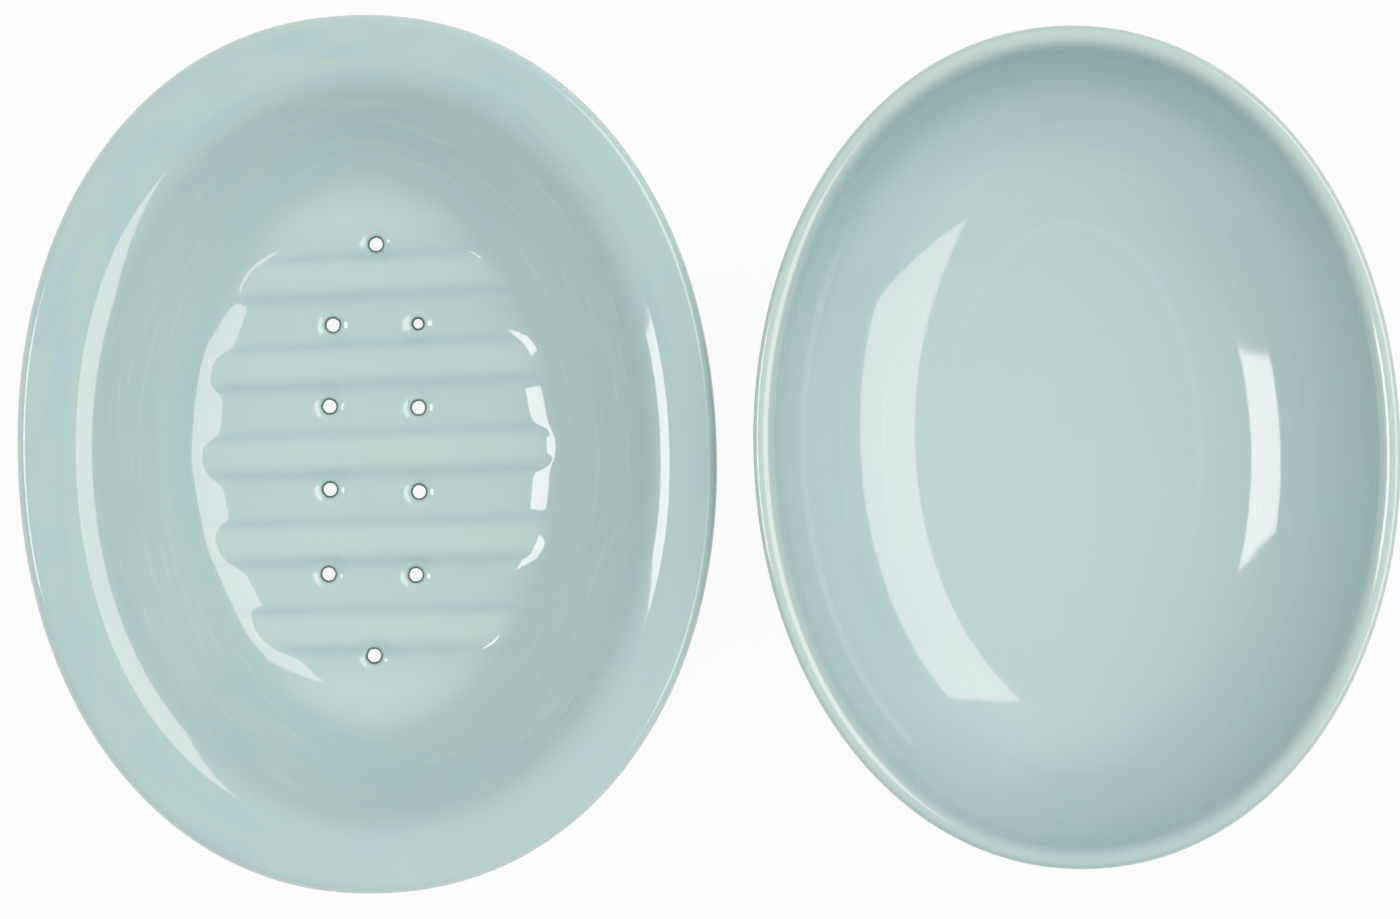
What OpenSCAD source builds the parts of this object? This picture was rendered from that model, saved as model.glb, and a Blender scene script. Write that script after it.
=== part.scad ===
// Oval soap dish in two loose pieces of glazed ceramic: a strainer with a ridged floor and drain
// holes, and the bowl that it sits on and drains into. They stand side by side on the table.
// X runs from the strainer to the bowl, Y along both pieces, and the table is at Z 0.

/* [Strainer] */
// Length over the rim
strainer_l = 140; // [128:0.5:152]
// Width over the rim
strainer_w = 111.4; // [104:0.1:122]
// Roundness of the outline: 2 is an ellipse, more is squarer
strainer_power = 2.12; // [2:0.01:2.3]
// Thickness of rim, wall and floor
strainer_t = 4; // [3.4:0.1:4.6]
// Width of the rim, from its edge to where it turns down
rim_w = 5.8; // [5.2:0.1:6.6]
// How far the rim falls towards the basin
rim_fall = 0.3; // [0:0.05:0.5]
// How far the rounded edge of the rim reaches in
rim_edge_w = 1.6; // [1.2:0.1:2.2]
// Radius of the shoulder between rim and basin
shoulder_r = 9; // [7:0.5:11]
// Slope of the basin's wall in degrees
wall_slope = 55; // [50:1:60]
// Depth of the basin, from the rim to the valleys of its floor
basin_d = 22; // [20:0.1:24]
// Radius between the basin's wall and floor
floor_r = 10.5; // [8:0.5:12]
// How far the basin lies off the centre of the hand-trimmed rim
basin_off = 1.1; // [-1.5:0.1:1.5]
// Height of the foot ring below the floor
strainer_foot_h = 1.6; // [0.8:0.1:2.5]
// Width of the foot ring
strainer_foot_w = 2.8; // [2:0.1:3.4]

/* [Ridges and drain holes] */
// Height of the ridges above the valleys
ridge_h = 1.5; // [0.8:0.1:2.2]
// Width of one ridge at its foot
ridge_w = 12; // [9:0.1:13.6]
// Distance from the end of the flat floor to the middle of the last ridge
end_ridge_in = 10.3; // [8:0.1:12]
// Diameter of a drain hole
hole_d = 2.4; // [1.8:0.1:3]
// Distance between the two holes of a row
hole_gap = 13.9; // [11:0.1:18]
// Distance from the end of the flat floor to the last hole
end_hole_in = 5.8; // [4.6:0.1:7]
// How far the hole pattern is turned against the ridges, in degrees
hole_turn = -2; // [-3:0.5:3]
// Radius of the glazed edge of a hole
hole_edge_r = 1.4; // [0.6:0.1:1.5]

/* [Bowl] */
// How far the strainer's rim reaches past the bowl at the sides
overhang_side = 4.3; // [3.9:0.1:5]
// How far the strainer's rim reaches past the bowl at the ends
overhang_end = 3; // [2.6:0.1:4]
// Roundness of the outline: 2 is an ellipse, more is squarer
bowl_power = 2.05; // [2:0.01:2.2]
// Thickness of the lip
lip_t = 3; // [2.4:0.1:3.6]
// Thickness of the floor
bowl_floor_t = 5; // [4:0.1:6]
// Distance from the bowl's side to the edge of its flat floor
bowl_wall_w = 32.6; // [30:0.1:35]
// Room for water between the seated strainer and the bowl's floor
water_gap = 9; // [6:0.1:12]
// Height of the foot ring below the floor
bowl_foot_h = 2.5; // [1.2:0.1:3.5]
// Width of the foot ring
bowl_foot_w = 3.6; // [2.8:0.1:4.6]
// Distance from the bowl's side to the outside of its foot ring
bowl_foot_in = 25.6; // [23:0.1:27]

/* [Layout] */
// How the pieces are set down: beside each other, or seated as in use
layout = "beside"; // [beside, seated]
// Gap between the two pieces when they stand side by side
table_gap = 5.7; // [3:0.1:20]
// How far the bowl stands back from the strainer's centre line
bowl_back = 2.6; // [0:0.1:3]

/* [Hidden] */
glaze = [0.70, 0.80, 0.78];

// Fineness: points round each outline, in fours, and steps along an arc, a foot ring and a tall wall
strainer_points = 120;
bowl_points = 80;
arc_steps = 6;
foot_steps = 2;
wall_steps = 10;
// How sharply the ridges join the basin's wall: higher is sharper
join_power = 3;
ridges = 5;
hole_rows = ridges + 1;
// Share of a foot ring's height that its round edges take
foot_round_share = 0.5;
// Direction in which the round edge of a hole ends, in degrees, just short of level
hole_edge_end = 110;
// Clearance under the seated strainer's rim, and the overrun of every cut
seat_gap = 0.1;
overrun = 1;

// Strainer, worked out
floor_z = strainer_foot_h + strainer_t;
rim_z = floor_z + basin_d;
strainer_h = rim_z + rim_fall;
wall_drop = basin_d - (shoulder_r + floor_r) * (1 - cos(wall_slope));
wall_run = wall_drop / tan(wall_slope);
floor_in = rim_w + (shoulder_r + floor_r) * sin(wall_slope) + wall_run;
floor_l = strainer_l - 2 * floor_in;
ridge_pitch = (floor_l - 2 * end_ridge_in) / (ridges - 1);
hole_pitch = (floor_l - 2 * end_hole_in) / (hole_rows - 1);
hole_r = hole_d / 2;
strainer_foot_in = floor_in - strainer_foot_w / 3;
// Where the outside of the foot ring meets the round underside of the wall, in degrees up it
strainer_foot_a = asin((floor_in - strainer_foot_in + strainer_foot_h * foot_round_share)
    / (floor_r + strainer_t));

// Bowl, worked out
bowl_l = strainer_l - 2 * overhang_end;
bowl_w = strainer_w - 2 * overhang_side;
bowl_floor_z = bowl_foot_h + bowl_floor_t;
seat_h = bowl_floor_z + water_gap;
bowl_h = seat_h + rim_z - strainer_t - seat_gap;
lip_r = lip_t / 2;
lip_z = bowl_h - lip_r;
// Where the outside of the foot ring meets the bowl's round side, in degrees down it
bowl_foot_a = acos(1 - (bowl_foot_in - bowl_foot_h * foot_round_share) / bowl_wall_w);

// Where each piece stands
total_w = strainer_w + table_gap + bowl_w;
bowl_at = [(total_w - bowl_w) / 2, -bowl_back, 0];
strainer_at = layout == "seated"
    ? bowl_at + [-basin_off, 0, seat_h]
    : [(strainer_w - total_w) / 2, 0, 0];

// Points [in, z] along an arc about c, where in is the distance from the outline
function arc(c, r_in, r_z, from, to, steps = arc_steps) =
    [for (i = [0 : steps]) let (a = from + (to - from) * i / steps) c + [r_in * cos(a), r_z * sin(a)]];

// The same points without the first, where it would double the last point before them
function onward(points) = [for (i = [1 : len(points) - 1]) points[i]];

// Point of a rounded outline with semi-axes p and q, at angle a
function outline(p, q, power, a) =
    [p * sign(cos(a)) * pow(abs(cos(a)), 2 / power), q * sign(sin(a)) * pow(abs(sin(a)), 2 / power)];

// Section of a foot ring, from the inside of the ring to the outside
function foot_ring(in, w, h) =
    let (round = h * foot_round_share)
    concat(
        [[in + w + round, h]],
        arc([in + w - round, round], round, round, 0, -90, foot_steps),
        arc([in + round, round], round, round, -90, -180, foot_steps));

// Height of the ridges above the valleys, at a distance y from the middle of the floor
function ridge(y) =
    let (
        nearest = min((ridges - 1) / 2, round(abs(y) / ridge_pitch)),
        off = abs(abs(y) - nearest * ridge_pitch))
    off > ridge_w / 2 ? 0 : ridge_h * (1 + cos(360 * off / ridge_w)) / 2;

// Height above the valleys where a ridge runs up against the basin's wall
function joined(wall, y) =
    pow(pow(max(wall, 0), join_power) + pow(ridge(y), join_power), 1 / join_power);

// Share of the basin's offset that a ring of the strainer takes: none at the edge, all at the shoulder
function offset_share(in) =
    let (u = max(0, min(1, (in - rim_edge_w) / (rim_w - rim_edge_w)))) u * u * (3 - 2 * u);

// Triangles between two neighbouring rings of n points, which start at points a and b
function band(n, a, b) =
    [for (i = [0 : n - 1]) let (j = (i + 1) % n) each [[a + i, a + j, b + j], [a + i, b + j, b + i]]];

// One flat face that closes a ring of n points, which starts at point a
function flat_end(n, a) = [[for (i = [n - 1 : -1 : 0]) a + i]];

// Strips along X that close a ring of n points, each between two points and the two across from them
function strip_end(n, a) = [
    for (i = [0 : n / 2 - 1])
        let (
            right = [(3 * n / 4 + i + 1) % n, (3 * n / 4 + i) % n],
            left = [3 * n / 4 - i, 3 * n / 4 - i - 1])
        [for (p = i == 0 ? [right[0], right[1], left[1]] : i == n / 2 - 1 ? [right[0], right[1], left[0]]
            : [right[0], right[1], left[0], left[1]]) a + p]];

// A closed skin through rings of points, from the underside to the top, which the last faces close
module skin(rings, last_faces) {
    n = len(rings[0]);
    points = [for (ring = rings) each ring];
    under = [[for (i = [0 : n - 1]) i]];
    sides = [for (k = [0 : len(rings) - 2]) each band(n, (k + 1) * n, k * n)];
    polyhedron(points, concat(under, sides, last_faces));
}

// Section of the strainer from its foot ring out to the edge, and back in to the foot of the wall
strainer_section = concat(
    foot_ring(strainer_foot_in, strainer_foot_w, strainer_foot_h),
    arc([floor_in, floor_z + floor_r], floor_r + strainer_t, floor_r + strainer_t,
        -90 - strainer_foot_a, -90 - wall_slope),
    arc([rim_w, rim_z - shoulder_r], shoulder_r - strainer_t, shoulder_r - strainer_t,
        90 - wall_slope, 90),
    arc([rim_edge_w, (rim_z - strainer_t + strainer_h) / 2], -rim_edge_w,
        (strainer_t + rim_fall) / 2, -90, 90),
    [[(rim_edge_w + rim_w) / 2, rim_z + rim_fall / 2]],
    arc([rim_w, rim_z - shoulder_r], shoulder_r, shoulder_r, 90, 90 - wall_slope),
    arc([floor_in, floor_z + floor_r], floor_r, floor_r, -90 - wall_slope, -90));

// Ring of the strainer for one point of its section; inside the basin the ridges run up its wall
function strainer_ring(p, inside) = [
    for (i = [0 : strainer_points - 1])
        let (xy = outline(strainer_w / 2 - p[0], strainer_l / 2 - p[0], strainer_power,
            360 * i / strainer_points))
        [xy[0] + basin_off * offset_share(p[0]), xy[1],
            inside ? floor_z + joined(p[1] - floor_z, xy[1]) : p[1]]];

// One drain hole, cut through the floor, with both its edges rounded
module drain_cut() {
    edge = hole_r + hole_edge_r;
    low = arc([edge, strainer_foot_h + hole_edge_r], hole_edge_r, hole_edge_r, 360 - hole_edge_end, 180);
    high = arc([edge, floor_z - hole_edge_r], hole_edge_r, hole_edge_r, 180, hole_edge_end);
    bottom = -overrun;
    top = floor_z + ridge_h + overrun;
    rotate_extrude($fn = 32)
        polygon(concat([[0, bottom], [low[0][0], bottom]], low, high, [[high[arc_steps][0], top], [0, top]]));
}

// Places of the drain holes: one in each end row, and two in each row between
hole_places = [
    for (row = [0 : hole_rows - 1])
        let (y = (row - (hole_rows - 1) / 2) * hole_pitch)
        each row == 0 || row == hole_rows - 1 ? [[0, y]] : [[-hole_gap / 2, y], [hole_gap / 2, y]]];

// Upper piece: rim, basin, ridged floor, drain holes and foot ring
module strainer() {
    rings = len(strainer_section);
    color(glaze)
        translate(strainer_at)
            difference() {
                skin(
                    [for (k = [0 : rings - 1]) strainer_ring(strainer_section[k], k >= rings - arc_steps - 1)],
                    strip_end(strainer_points, (rings - 1) * strainer_points));
                translate([basin_off, 0, 0])
                    rotate(hole_turn)
                        for (place = hole_places)
                            translate(place)
                                drain_cut();
            }
}

// Section of the bowl from its foot ring up the outside, over the lip and down to the flat floor
bowl_section = concat(
    foot_ring(bowl_foot_in, bowl_foot_w, bowl_foot_h),
    arc([bowl_wall_w, lip_z], -bowl_wall_w, lip_z - bowl_foot_h, -bowl_foot_a, 0, wall_steps),
    onward(arc([lip_r, lip_z], -lip_r, lip_r, 0, 180)),
    onward(arc([bowl_wall_w, lip_z], -(bowl_wall_w - lip_t), lip_z - bowl_floor_z, 0, -90, wall_steps)));

// Ring of the bowl for one point of its section
function bowl_ring(p) = [
    for (i = [0 : bowl_points - 1])
        let (xy = outline(bowl_w / 2 - p[0], bowl_l / 2 - p[0], bowl_power, 360 * i / bowl_points))
        [xy[0], xy[1], p[1]]];

// Lower piece: the bowl that catches the water
module bowl() {
    color(glaze)
        translate(bowl_at)
            skin(
                [for (p = bowl_section) bowl_ring(p)],
                flat_end(bowl_points, (len(bowl_section) - 1) * bowl_points));
}

strainer();
bowl();
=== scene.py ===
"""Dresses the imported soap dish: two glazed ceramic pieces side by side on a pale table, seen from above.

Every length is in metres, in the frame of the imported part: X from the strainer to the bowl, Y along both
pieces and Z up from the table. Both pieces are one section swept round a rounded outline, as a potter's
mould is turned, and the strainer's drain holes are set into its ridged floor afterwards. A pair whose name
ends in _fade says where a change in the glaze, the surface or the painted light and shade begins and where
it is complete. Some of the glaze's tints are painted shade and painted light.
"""
import logging
import math
from collections.abc import Callable
from dataclasses import dataclass, field
from enum import Enum

import bpy
import numpy as np
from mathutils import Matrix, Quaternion, Vector
from mathutils.geometry import delaunay_2d_cdt


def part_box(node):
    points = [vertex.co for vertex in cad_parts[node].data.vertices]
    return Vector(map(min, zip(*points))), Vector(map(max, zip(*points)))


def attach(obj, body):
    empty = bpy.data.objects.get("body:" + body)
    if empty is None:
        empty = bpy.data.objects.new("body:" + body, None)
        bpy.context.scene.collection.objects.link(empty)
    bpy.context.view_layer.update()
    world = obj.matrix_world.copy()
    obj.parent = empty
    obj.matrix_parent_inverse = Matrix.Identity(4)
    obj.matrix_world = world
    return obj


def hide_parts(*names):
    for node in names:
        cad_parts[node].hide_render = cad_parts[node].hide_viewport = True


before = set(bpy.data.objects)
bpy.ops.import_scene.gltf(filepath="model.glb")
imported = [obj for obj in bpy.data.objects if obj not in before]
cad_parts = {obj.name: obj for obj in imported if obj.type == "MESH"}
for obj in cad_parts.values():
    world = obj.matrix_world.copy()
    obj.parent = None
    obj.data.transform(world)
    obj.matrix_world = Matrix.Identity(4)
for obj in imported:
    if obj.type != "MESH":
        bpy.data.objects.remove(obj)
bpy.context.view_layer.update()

LOG = logging.getLogger("soap_dish")
MM = 0.001
TINY = 1e-9
WHITE = (1.0, 1.0, 1.0, 1.0)

Colour = tuple[float, float, float]
Point = tuple[float, float]
Socket = bpy.types.NodeSocket
Thing = bpy.types.Object


def srgb(red: int, green: int, blue: int) -> Colour:
    """A colour given as it shows on a screen, made linear.

    Args:
        red, green, blue: 0 to 255.
    Returns:
        The linear colour.
    """
    return tuple(((c / 255 + 0.055) / 1.055) ** 2.4 for c in (red, green, blue))


def new_object(name: str, data: bpy.types.ID) -> Thing:
    """A new object in the scene.

    Args:
        name: its name.
        data: what it shows.
    Returns:
        The object.
    """
    thing = bpy.data.objects.new(name, data)
    bpy.context.scene.collection.objects.link(thing)
    return thing


def mesh_object(name: str, points: list, faces: list = ()) -> Thing:
    """A mesh object from points and faces, for a tree to read.

    Args:
        name: its name.
        points: its points.
        faces: lists of the points of each face.
    Returns:
        The object.
    """
    mesh = bpy.data.meshes.new(name)
    mesh.from_pydata([tuple(p) for p in points], [], [tuple(f) for f in faces])
    return new_object(name, mesh)


def section_object(name: str, line: list) -> Thing:
    """A mesh object whose points are (inset, 0, z), for a tree to sweep."""
    return mesh_object(name, [(p[0], 0.0, p[1]) for p in line])


def joined_by(operation: str, swapped: bool = False) -> Callable[["Value", object], "Value"]:
    """A method that joins two values with a Math node.

    Args:
        operation: what the node does.
        swapped: whether the other value comes first.
    Returns:
        The method.
    """
    def method(self: "Value", other: object) -> "Value":
        """The result for this value and another."""
        return self.tree.math(operation, *((other, self) if swapped else (self, other)))
    return method


class Value:
    """A value inside a node tree. Sums written with it become Math nodes."""

    def __init__(self, tree: "NodeTree", socket: Socket) -> None:
        """Holds the socket that gives the value."""
        self.tree, self.socket = tree, socket

    def __abs__(self) -> "Value":
        """The value without its sign."""
        return self.tree.math("ABSOLUTE", self)

    __add__, __radd__ = joined_by("ADD"), joined_by("ADD", True)
    __sub__, __rsub__ = joined_by("SUBTRACT"), joined_by("SUBTRACT", True)
    __mul__, __rmul__ = joined_by("MULTIPLY"), joined_by("MULTIPLY", True)
    __truediv__, __rtruediv__ = joined_by("DIVIDE"), joined_by("DIVIDE", True)
    __pow__ = joined_by("POWER")
    __gt__, __lt__ = joined_by("GREATER_THAN"), joined_by("LESS_THAN")
    at_least, at_most = joined_by("MAXIMUM"), joined_by("MINIMUM")


class NodeTree:
    """A node tree under construction, for geometry or for a material."""

    def __init__(self, tree: bpy.types.NodeTree) -> None:
        """Starts on an empty tree."""
        self.tree = tree
        self.tree.nodes.clear()

    def add(self, kind: str, *values: object, named: dict[str, object] | None = None,
            **settings: object) -> bpy.types.Node:
        """Adds a node.

        Args:
            kind: the node's type.
            values: what its inputs get, in order; None leaves an input as it is.
            named: what its inputs get, by name.
            settings: the node's own properties.
        Returns:
            The node.
        """
        node = self.tree.nodes.new(kind)
        for key, value in settings.items():
            setattr(node, key, value)
        inputs = [s for s in node.inputs if s.enabled]
        for socket, value in zip(inputs, values):
            self.feed(socket, value)
        for name, value in (named or {}).items():
            self.feed(next(s for s in inputs if s.name == name), value)
        return node

    def feed(self, socket: Socket, value: object) -> None:
        """Links a socket to another, or sets its value.

        Args:
            socket: the input.
            value: another socket, a value in the tree or a plain one; None changes nothing.
        """
        if isinstance(value, Value):
            value = value.socket
        if isinstance(value, Socket):
            self.tree.links.new(value, socket)
        elif value is not None:
            socket.default_value = value

    def math(self, operation: str, *values: object) -> Value:
        """The result of a Math node."""
        return Value(self, self.add("ShaderNodeMath", *values, operation=operation).outputs[0])

    def smooth(self, value: object, low: float, high: float, kind: str = "SMOOTHSTEP") -> Value:
        """A smooth step from 0 at low to 1 at high."""
        node = self.add("ShaderNodeMapRange", value, low, high, 0.0, 1.0, interpolation_type=kind)
        return Value(self, node.outputs[0])

    def fading(self, value: object, low: float, high: float) -> Value:
        """A smooth step from 1 at low to 0 at high."""
        return 1.0 - self.smooth(value, low, high)

    def noise(self, where: object, seed: object, scale: object, detail: float = 2.0) -> Value:
        """Noise from 0 to 1 at a place."""
        inputs = {"Vector": where, "W": seed, "Scale": scale, "Detail": detail}
        return Value(self, self.add("ShaderNodeTexNoise", named=inputs, noise_dimensions="4D").outputs[0])

    def vector(self, x: object, y: object, z: object) -> Socket:
        """A vector from three numbers."""
        return self.add("ShaderNodeCombineXYZ", x, y, z).outputs[0]

    def parts(self, vector: object) -> list[Value]:
        """The three numbers of a vector."""
        return [Value(self, s) for s in self.add("ShaderNodeSeparateXYZ", vector).outputs]

    def rays(self, *kinds: str) -> Value:
        """1 for a ray of any of these kinds, and 0 for others.

        Args:
            kinds: names of kinds of rays.
        Returns:
            The value.
        """
        path = self.add("ShaderNodeLightPath").outputs
        found = Value(self, path[f"Is {kinds[0]} Ray"])
        for kind in kinds[1:]:
            found = found.at_least(path[f"Is {kind} Ray"])
        return found


class GeometryTree(NodeTree):
    """A Geometry Nodes tree with named inputs, which ends in Realize Instances and Set Material."""

    def __init__(self, name: str) -> None:
        """Makes the tree with its output.

        Args:
            name: the tree's name.
        """
        super().__init__(bpy.data.node_groups.new(name, "GeometryNodeTree"))
        self.tree.interface.new_socket("Geometry", in_out="OUTPUT", socket_type="NodeSocketGeometry")
        self.start = self.tree.nodes.new("NodeGroupInput")
        self.identifiers: dict[str, str] = {}
        self.values: dict[str, object] = {}

    def size(self, name: str, value: object, kind: str = "NodeSocketFloat") -> Value:
        """A named input, made when it is first asked for.

        Args:
            name: the input's name.
            value: what the piece sets it to.
            kind: the socket's type.
        Returns:
            The input inside the tree.
        """
        if name not in self.identifiers:
            item = self.tree.interface.new_socket(name, in_out="INPUT", socket_type=kind)
            self.identifiers[name] = item.identifier
            self.values[item.identifier] = value
        return Value(self, next(s for s in self.start.outputs if s.identifier == self.identifiers[name]))

    def store(self, mesh: Socket, name: str, value: object) -> Socket:
        """Stores a number on every point of a mesh.

        Args:
            mesh: the mesh.
            name: the attribute's name.
            value: the number.
        Returns:
            The mesh.
        """
        inputs = {"Geometry": mesh, "Name": name, "Value": value}
        return self.add("GeometryNodeStoreNamedAttribute", named=inputs, data_type="FLOAT",
                        domain="POINT").outputs[0]

    def moved(self, mesh: Socket, position: object = None, offset: object = None) -> Socket:
        """The mesh with its points set to a position, or shifted by an offset."""
        inputs = {"Geometry": mesh, "Position": position, "Offset": offset}
        return self.add("GeometryNodeSetPosition", named=inputs).outputs[0]

    def position(self) -> Socket:
        """Where a point is."""
        return self.add("GeometryNodeInputPosition").outputs[0]

    def mesh_of(self, name: str, thing: Thing) -> Socket:
        """The mesh of an object, which is a named input."""
        given = self.size(name, thing, "NodeSocketObject")
        return self.add("GeometryNodeObjectInfo", given).outputs["Geometry"]

    def kept(self, mesh: Socket, vector: Socket) -> tuple[Socket, list[Value]]:
        """A mesh whose points keep a vector as it is here, and that vector's numbers.

        Args:
            mesh: the mesh.
            vector: what its points keep.
        Returns:
            The mesh, and the numbers x, y and z.
        """
        node = self.add("GeometryNodeCaptureAttribute")
        node.capture_items.new("VECTOR", "kept")
        self.feed(node.inputs["Geometry"], mesh)
        self.feed(node.inputs["kept"], vector)
        return node.outputs["Geometry"], self.parts(node.outputs["kept"])

    def swept(self, name: str, section: Thing, columns: object,
              rows: object) -> tuple[Socket, list[Value]]:
        """A grid whose rows are the points of a section and whose columns go round.

        Args:
            name: the name of the input that the section is.
            section: object whose points are (inset, 0, z).
            columns: how many columns the grid has; the last one lies on the first.
            rows: how many points the section has.
        Returns:
            The grid, and the angle, inset, z and share of the rows at a point.
        """
        grid = self.add("GeometryNodeMeshGrid", 1.0, 1.0, columns, rows)
        mesh, (u, v, _) = self.kept(grid.outputs["Mesh"], grid.outputs["UV Map"])
        sample = self.add("GeometryNodeSampleIndex", data_type="FLOAT_VECTOR", domain="POINT", named={
            "Geometry": self.mesh_of(name, section), "Value": self.position(),
            "Index": self.math("ROUND", v * (rows - 1.0))})
        inset, _, z = self.parts(sample.outputs["Value"])
        return mesh, [u * math.tau, inset, z, v]

    def finish(self, mesh: Socket, material: bpy.types.Material) -> None:
        """Shades the mesh smooth, realizes it, gives it its material and ends the tree.

        Args:
            mesh: the finished mesh.
            material: its material.
        """
        smooth = self.add("GeometryNodeSetShadeSmooth", mesh)
        real = self.add("GeometryNodeRealizeInstances", smooth.outputs[0])
        given = self.size("Material", material, "NodeSocketMaterial")
        dressed = self.add("GeometryNodeSetMaterial", named={"Geometry": real.outputs[0], "Material": given})
        self.add("NodeGroupOutput", dressed.outputs[0])

    def bake(self, name: str) -> Thing:
        """Runs the tree and keeps its result as a plain mesh.

        Args:
            name: the new object's name.
        Returns:
            The object, at the origin, with no modifier.
        """
        maker = new_object(name + "_maker", bpy.data.meshes.new(name + "_maker"))
        modifier = maker.modifiers.new("tree", "NODES")
        modifier.node_group = self.tree
        for identifier, value in self.values.items():
            modifier[identifier] = value
        graph = bpy.context.evaluated_depsgraph_get()
        mesh = bpy.data.meshes.new_from_object(maker.evaluated_get(graph), depsgraph=graph)
        mesh.name = name
        bpy.data.objects.remove(maker)
        return new_object(name, mesh)


class Place(Enum):
    """Where a stretch of a section lies on its piece."""

    UNDER = "under"
    INSIDE = "inside"


def arc(centre: Point, r_in: float, r_z: float, start: float, end: float, steps: int = 90) -> list[Point]:
    """Points (inset, z) along an arc.

    Args:
        centre: the arc's centre; the inset is the distance from the piece's outline.
        r_in, r_z: radii along the inset and along z.
        start, end: angles in degrees.
        steps: how many steps the arc takes.
    Returns:
        The points.
    """
    angles = [math.radians(start + (end - start) * i / steps) for i in range(steps + 1)]
    return [(centre[0] + r_in * math.cos(a), centre[1] + r_z * math.sin(a)) for a in angles]


def glazed(points: list[Point], softness: float, step: float, turn: float) -> np.ndarray:
    """Softens a section as its glaze does, and spaces its points for the sweep.

    Args:
        points: the section's points (inset, z).
        softness: how far the glaze evens out a corner.
        step: longest distance between two points.
        turn: most that the section turns between two points, in radians.
    Returns:
        The spaced points, one row each.
    """
    line = np.array(points)
    line = line[np.r_[True, np.linalg.norm(np.diff(line, axis=0), axis=1) > TINY]]
    length = np.r_[0, np.cumsum(np.linalg.norm(np.diff(line, axis=0), axis=1))]
    fine = 0.05 * MM
    s = np.linspace(0, length[-1], int(length[-1] / fine))
    even = np.stack([np.interp(s, length, line[:, k]) for k in range(2)], axis=1)
    reach = int(3 * softness / fine)
    weights = np.exp(-0.5 * (np.arange(-reach, reach + 1) * fine / softness) ** 2)
    weights /= weights.sum()
    first, last = even[0], even[-1]
    padded = np.concatenate([2 * first - even[reach:0:-1], even, 2 * last - even[-2:-reach - 2:-1]])
    soft = np.stack([np.convolve(padded[:, k], weights, mode="valid") for k in range(2)], axis=1)
    heading = np.unwrap(np.arctan2(*np.gradient(soft, axis=0).T[::-1]))
    bend = np.abs(np.gradient(heading, s))
    need = np.r_[0, np.cumsum((1 / step + bend / turn)[1:] * np.diff(s))]
    count = int(math.ceil(need[-1])) + 1
    at = np.interp(np.linspace(0, need[-1], count), need, s)
    return np.stack([np.interp(at, s, soft[:, k]) for k in range(2)], axis=1)


@dataclass(frozen=True)
class Glaze:
    """Glossy pale blue-green glaze over a pale clay, which shows bare under the foot rings.

    A scale is in waves to the metre. A stretch is the share of x and y that a drawn-out pattern keeps.
    """

    name: str
    seed: float
    body: Colour = srgb(185, 209, 210)
    # tint of the painted shade along the steepest flank of each ridge
    pooled: Colour = srgb(172, 199, 204)
    thin: Colour = srgb(192, 214, 207)
    # pale is the tint of painted light and painted reflections, and of glaze running thin over the
    # strainer's edges
    pale: Colour = srgb(205, 227, 218)
    # green and blue tint the painted shade, in patches
    green: Colour = srgb(176, 208, 199)
    blue: Colour = srgb(170, 201, 206)
    clay: Colour = srgb(222, 214, 200)
    speck: Colour = srgb(120, 140, 138)
    # bore is painted shade, the dark inside of each drain hole
    bore: Colour = srgb(112, 158, 142)
    gloss: float = 0.05
    gloss_scale: float = 90.0
    gloss_change: float = 0.04
    bore_dull: float = 0.7
    ior: float = 1.62
    cloud_scale: float = 45.0
    cloud_fade: Point = (0.3, 0.7)
    cloud_share: float = 0.25
    flank_shade_change: float = 0.3
    patch_scale: float = 330.0
    patch_fade: Point = (0.42, 0.66)
    patch_stretch: float = 0.25
    # streak and the three sizes after it set the painted reflection streaks
    streak: float = 0.3
    streak_scale: float = 1200.0
    streak_fade: Point = (0.52, 0.72)
    streak_stretch: float = 0.07
    wall_fade: Point = (11 * MM, 14 * MM)
    floor_fade: Point = (23 * MM, 26 * MM)
    speck_scale: float = 210.0
    speck_fade: Point = (0.012, 0.03)
    speck_choice: Point = (0.55, 1.0)
    speck_share: float = 0.6
    peel_scale: float = 420.0
    peel_h: float = 0.01 * MM
    blemish_h: float = 0.025 * MM
    blemish_fade: Point = (0.2 * MM, 1.1 * MM)
    blemishes: tuple[Point, ...] = ()
    clay_rough: float = 0.9
    clay_scale: float = 1500.0
    clay_dark: float = 0.8
    grain_scale: float = 2500.0
    grain_h: float = 0.2 * MM
    grain_strength: float = 0.4
    bare_height: float = 0.45 * MM
    bare_scale: float = 160.0
    bare_change: float = 0.4 * MM

    def build(self) -> bpy.types.Material:
        """Makes the material, which reads the object's own coordinates and its mesh's attributes.

        Returns:
            The material.
        """
        material = bpy.data.materials.new(self.name)
        material.use_nodes = True
        GlazeTree(material.node_tree, self).build()
        return material


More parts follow.
